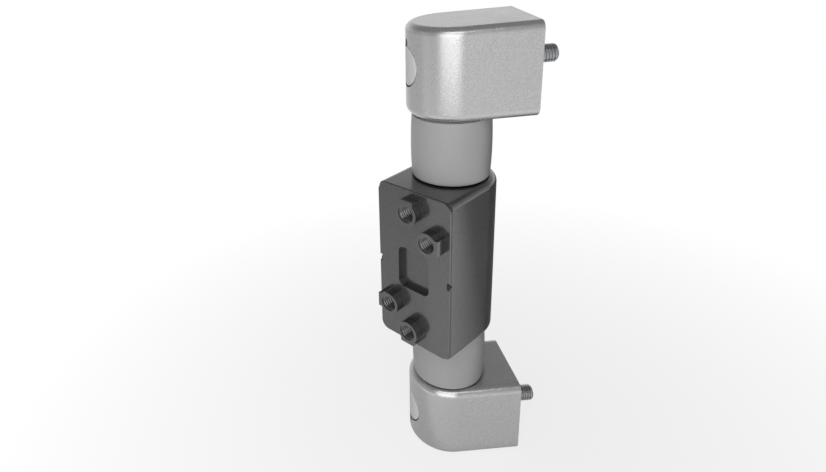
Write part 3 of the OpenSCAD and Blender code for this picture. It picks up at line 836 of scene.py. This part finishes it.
class ArmCasting(bpy.types.Operator):
    """Builds the dark arm casting that carries the beam"""

    bl_idname = "friction_joint.arm_casting"
    bl_label = "Arm Casting"
    bl_options = {"REGISTER", "UNDO"}

    def execute(self, context):
        size = context.scene.joint_sizes
        half, reach, width = size.arm_height / 2, size.arm_reach, size.arm_radius
        mouth, core_depth, disc_depth = reach + size.lug_length, 3 * MM, MM
        arm = nosed_block("arm_casting", width, -half, half, reach - size.rim_length,
                          size.arm_fillet, size.arm_fillet)
        rim_width, rim_half = width - size.rim_inset, half - size.rim_inset
        rim = bar("rim", (reach - 3 * OVER, reach), (-rim_width, rim_width), (-rim_half, rim_half),
                  corner=4 * MM)
        combine(arm, rim, "UNION")
        # Across and up from the swing axis, and the turn that points the lug at its slot's mouth
        lugs = [(0, size.slot_up, 0), (0, -size.slot_up, math.pi),
                (-size.side_slot_out, -size.side_slot_up, math.pi / 2),
                (size.side_slot_out, size.side_slot_up, -math.pi / 2)]
        for across, up, turn in lugs:
            combine(arm, self.lug(size, across, up, turn), "UNION")
            hole = rod("hole", size.thread_radius, mouth - size.hole_depth, mouth + 4 * OVER,
                       HOLE_STEPS)
            combine(arm, place(hole, (0, across, up)), "DIFFERENCE")
        disc, bush, relief = size.disc_seat_radius, size.bush_seat_radius, size.relief_radius
        steps = [[disc, half + OVER], [disc, half - disc_depth], [bush, half - disc_depth],
                 [bush, half - size.bush_seat_end], [relief, half - size.bush_seat_end]]
        bores = turned("bores", [[radius, -up] for radius, up in steps] + steps[::-1], RING_STEPS,
                       closed=False)
        combine(arm, bores, "DIFFERENCE")
        core = bar("core", (reach - core_depth, reach + OVER), (-8.5 * MM, 8.5 * MM),
                   (-10.5 * MM, 10.5 * MM), corner=core_depth)
        combine(arm, core, "DIFFERENCE")
        mark_size = (2.8 * MM, 3.6 * MM, 3 * MM)
        for side in (-1, 1):
            bpy.ops.mesh.primitive_cylinder_add(vertices=4, radius=1, depth=1,
                                                rotation=(math.pi / 2, 0, 0))
            mark = settle(fresh("centre mark"))
            mark.scale = mark_size
            place(mark, (reach + MM, side * width, 0))
            combine(arm, mark, "DIFFERENCE")
        close_up(arm)
        break_edges(arm, 0.4 * size.edge_break)
        for across, up, _ in lugs:
            merge(arm, place(self.hole_thread(size), (0, across, up)))
        place(arm, (-size.axis_offset, 0, 0), (0, 0, math.pi + size.arm_angle))
        smooth(arm)
        hand_over(arm, "swing_arm", "casting_dark", "arm_body")
        return done()

    def lug(self, size, across, up, turn):
        """A locating lug: a round boss with a neck towards the slot's mouth."""
        start, mouth = size.arm_reach - OVER, size.arm_reach + size.lug_length
        neck_half, neck_end = 3.62 * MM, 6 * MM
        boss = rod("lug", size.lug_radius, start, mouth, HOLE_STEPS)
        neck = bar("neck", (start, mouth), (-neck_half, neck_half), (0, neck_end))
        combine(boss, neck, "UNION")
        place(boss, turn=(turn, 0, 0))
        return place(boss, (0, across, up))

    def hole_thread(self, size):
        """The thread's turns that stand into a hole of the beam face."""
        inset, long, overlap = 0.5 * MM, 14 * MM, 0.05 * MM
        mouth = size.arm_reach + size.lug_length - inset
        ridge = rod("hole thread", size.thread_radius + overlap, mouth - long, mouth, HOLE_STEPS)
        cutter = threaded_rod("groove", size.hole_radius, size.thread_radius - overlap,
                              size.thread_pitch, long + 2 * OVER)
        return combine(ridge, place(cutter, (mouth - long - OVER, 0, 0)), "DIFFERENCE")


class FasteningScrews(bpy.types.Operator):
    """Builds the two low-head screws that hold the brackets"""

    bl_idname = "friction_joint.fastening_screws"
    bl_label = "Fastening Screws"
    bl_options = {"REGISTER", "UNDO"}

    def execute(self, context):
        size = context.scene.joint_sizes
        seat, head, tip = size.seat, size.seat + size.head_height, size.screw_standout
        radius, soft, rim, socket_depth = size.head_radius, 0.2 * MM, 0.5 * MM, 2.8 * MM
        blank = turned("fastening_screw_upper",
                       [[size.shank_radius, -size.axis_offset - 0.5 * OVER],
                        [size.shank_radius, seat], [radius - soft, seat], [radius, seat + soft],
                        [radius, head - rim], [radius - 0.3 * rim, head - 0.3 * rim],
                        [radius - rim, head]], RING_STEPS, closed=False)
        place(blank, turn=(0, -math.pi / 2, 0))
        bpy.ops.mesh.primitive_cylinder_add(vertices=6, radius=size.hex_key / math.sqrt(3),
                                            depth=2 * socket_depth, location=(-head, 0, 0),
                                            rotation=(0, math.pi / 2, 0))
        combine(blank, settle(fresh("hex socket")), "DIFFERENCE")
        thread = threaded_rod("thread", size.thread_core, size.thread_radius, size.thread_pitch,
                              tip)
        around, cone_start, cone_end = size.thread_radius + OVER, tip - 2 * MM, 3 * MM
        point = turned("point", [[around, -OVER], [around, cone_start], [cone_end, tip]],
                       HEAD_STEPS, closed=False)
        place(point, turn=(0, math.pi / 2, 0))
        combine(thread, point, "INTERSECT")
        place(thread, (size.axis_offset, 0, 0))
        combine(blank, thread, "UNION")
        place(blank, (-size.axis_offset, 0, size.screw_height))
        hand_over_pair(blank, "fastening_screw_lower", "zinc_steel", "upper_screw", "lower_screw",
                       THREAD_ANGLE)
        return done()


class InnerParts(bpy.types.Operator):
    """Gives the shaft, bushes and friction pack their finishes"""

    bl_idname = "friction_joint.inner_parts"
    bl_label = "Inner Parts"
    bl_options = {"REGISTER", "UNDO"}

    def execute(self, context):
        slots = {part["node"]: part["material_slot"] for part in frame["record"]["subparts"]}
        for name, node in frame["nodes"].items():
            node.data.materials.clear()
            node.data.materials.append(finish_for(slots[name]))
        return {"FINISHED"}


# Where the lamps stand, and their width and height, in metres
LAMP_AIM = (-0.031, 0.0, 0.0)
KEY_LAMP = ((-0.26, -0.64, 0.16), (0.64, 0.62))
TOP_LAMP = ((-0.15, -0.62, 0.76), (0.8, 0.3))
FILL_LAMP = ((-1.0, -0.1, 0.5), (0.6, 0.6))
FLOOR_RADIUS, FLOOR_DROP = 3.0, 0.0002
# Ramps over the floor, in metres from the middle: from, to, value at from, value at to
FLOOR_WHITE = (0.08, 0.3, 0.76, 1.0)
FLOOR_DARK_X, FLOOR_DARK_Y = (0.02, 0.06, 1.0, 0.1), (-0.026, -0.004, 1.4, 0.1)
FLOOR_DARK_END = (0.06, 0.2, 0.4, 1.0)
FLOOR_DIM = (("Y", (-0.4, -0.1, 0.72, 1.0)), ("X", (-0.45, -0.08, 0.72, 1.0)))
# Ramps over the directions of the sky
SKY_DIM = (("Z", (0.24, 0.6, 1.0, 0.25)), ("X", (-0.9, -0.3, 0.5, 1.0)),
           ("Y", (-0.9, 0.2, 0.7, 1.0)))
SKY_SIDE = (-0.5, 0.5)
SKY_WEAK_SHARE = 0.1


def soft_lamp(name, lamp_at, size, power):
    """A soft rectangular lamp that looks at the joint."""
    data = bpy.data.lights.new(name, "AREA")
    data.shape = "RECTANGLE"
    data.size, data.size_y = size
    data.energy = power
    lamp = bpy.data.objects.new(name, data)
    bpy.context.scene.collection.objects.link(lamp)
    lamp.location = lamp_at
    aim = Vector(LAMP_AIM) - Vector(lamp_at)
    lamp.rotation_euler = aim.to_track_quat("-Z", "Y").to_euler()


def seen_rays(tree, rays):
    """Mask of the rays that show a surface, straight, mirrored or through something clear."""
    seen = math_node(tree, "MAXIMUM", rays["Is Camera Ray"], rays["Is Glossy Ray"])
    return math_node(tree, "MAXIMUM", seen, rays["Is Transmission Ray"])


class StudioStage(bpy.types.Operator):
    """Builds the floor, lamps, sky and camera"""

    bl_idname = "friction_joint.studio"
    bl_label = "Studio"
    bl_options = {"REGISTER", "UNDO"}

    def execute(self, context):
        scene, studio = context.scene, context.scene.studio
        self.floor(CAD_BOUNDS[0].z)
        self.sky(scene, studio.sky)
        soft_lamp("key lamp", *KEY_LAMP, studio.key)
        soft_lamp("top lamp", *TOP_LAMP, studio.top)
        soft_lamp("fill lamp", *FILL_LAMP, studio.fill)
        self.camera(scene, studio)
        scene.view_settings.view_transform = "Standard"
        return {"FINISHED"}

    def floor(self, height):
        """A wide pale floor that runs into white and keeps the object's shadow."""
        bpy.ops.mesh.primitive_circle_add(vertices=RING_STEPS, radius=FLOOR_RADIUS,
                                          fill_type="NGON", location=(0, 0, height - FLOOR_DROP))
        floor = settle(fresh("studio_floor"))
        material = bpy.data.materials.new("floor paint")
        material.use_nodes = True
        tree = material.node_tree
        tree.nodes.clear()
        rays = add(tree, "LightPath").outputs
        where = add(tree, "TexCoord").outputs["Object"]
        reach = add(tree, "VectorMath", {0: where}, operation="LENGTH").outputs["Value"]
        share = math_node(tree, "MULTIPLY", seen_rays(tree, rays), ramp(tree, reach, *FLOOR_WHITE))
        spot = add(tree, "SeparateXYZ", {"Vector": where}).outputs
        # What mirrors see of the floor is darker around the joint and to the front and left
        dark = math_node(tree, "MAXIMUM", ramp(tree, spot["X"], *FLOOR_DARK_X),
                         ramp(tree, spot["Y"], *FLOOR_DARK_Y))
        dim = math_node(tree, "MULTIPLY", dark, ramp(tree, reach, *FLOOR_DARK_END))
        for side, limits in FLOOR_DIM:
            dim = math_node(tree, "MULTIPLY", dim, ramp(tree, spot[side], *limits))
        strength = add(tree, "Mix", {0: rays["Is Camera Ray"], 2: dim, 3: 1.0},
                       data_type="FLOAT").outputs[0]
        paint = add(tree, "BsdfDiffuse", {"Color": (0.6, 0.6, 0.6, 1)}).outputs[0]
        white = add(tree, "Emission", {"Color": (1, 1, 1, 1), "Strength": strength}).outputs[0]
        blend = add(tree, "MixShader", {0: share, 1: paint, 2: white}).outputs[0]
        add(tree, "OutputMaterial", {"Surface": blend})
        floor.data.materials.append(material)

    def sky(self, scene, strength):
        """Even light all around, seen as a white horizon under a dim ceiling."""
        world = bpy.data.worlds.new("studio sky")
        scene.world = world
        world.use_nodes = True
        tree = world.node_tree
        tree.nodes.clear()
        rays = add(tree, "LightPath").outputs
        way = add(tree, "SeparateXYZ",
                  {0: add(tree, "TexCoord").outputs["Generated"]}).outputs
        dim = 1.0
        for side, limits in SKY_DIM:
            dim = math_node(tree, "MULTIPLY", dim, ramp(tree, way[side], *limits))
        backdrop = math_node(tree, "MAXIMUM", dim, rays["Is Camera Ray"])
        soft = ramp(tree, way["X"], *SKY_SIDE, strength, SKY_WEAK_SHARE * strength)
        even, white = (add(tree, "Background", {"Color": (1, 1, 1, 1), "Strength": value})
                       .outputs[0] for value in (soft, backdrop))
        blend = add(tree, "MixShader", {0: seen_rays(tree, rays), 1: even, 2: white})
        add(tree, "OutputWorld", {"Surface": blend.outputs[0]})

    def camera(self, scene, studio):
        """The camera, at the photograph's viewing angle."""
        data = bpy.data.cameras.new("view camera")
        data.lens = studio.lens
        data.sensor_width = 36.0
        data.shift_x, data.shift_y = studio.shift
        data.clip_start = 0.01
        camera = bpy.data.objects.new("view camera", data)
        scene.collection.objects.link(camera)
        camera.location = studio.camera_place
        camera.rotation_euler = studio.camera_turn
        scene.camera = camera


PIECE_OPERATORS = (BracketCastings, BlankingCaps, CoverSleeves, DustRings, ArmCasting,
                   FasteningScrews, InnerParts, StudioStage)


class FrictionJointPanel(bpy.types.Panel):
    """Lists the pieces of the friction joint"""

    bl_idname = "VIEW3D_PT_friction_joint"
    bl_label = "Friction Joint"
    bl_space_type = "VIEW_3D"
    bl_region_type = "UI"
    bl_category = "Friction Joint"

    def draw(self, context):
        for operator in PIECE_OPERATORS:
            self.layout.operator(operator.bl_idname)


CLASSES = (JointSizes, JointFinish, StudioSettings) + PIECE_OPERATORS + (FrictionJointPanel,)


def register():
    for part in CLASSES:
        bpy.utils.register_class(part)
    bpy.types.Scene.joint_sizes = PointerProperty(type=JointSizes)
    bpy.types.Scene.joint_finish = PointerProperty(type=JointFinish)
    bpy.types.Scene.studio = PointerProperty(type=StudioSettings)


def unregister():
    del bpy.types.Scene.studio
    del bpy.types.Scene.joint_finish
    del bpy.types.Scene.joint_sizes
    for part in reversed(CLASSES):
        bpy.utils.unregister_class(part)


def main():
    """Builds every piece in order."""
    register()
    for name in list(bpy.data.objects.keys()):
        if name in ("Cube", "Light", "Camera"):
            bpy.data.objects.remove(bpy.data.objects[name])
    for operator in PIECE_OPERATORS:
        group, step = operator.bl_idname.split(".")
        getattr(getattr(bpy.ops, group), step)()


if __name__ == "__main__":
    main()
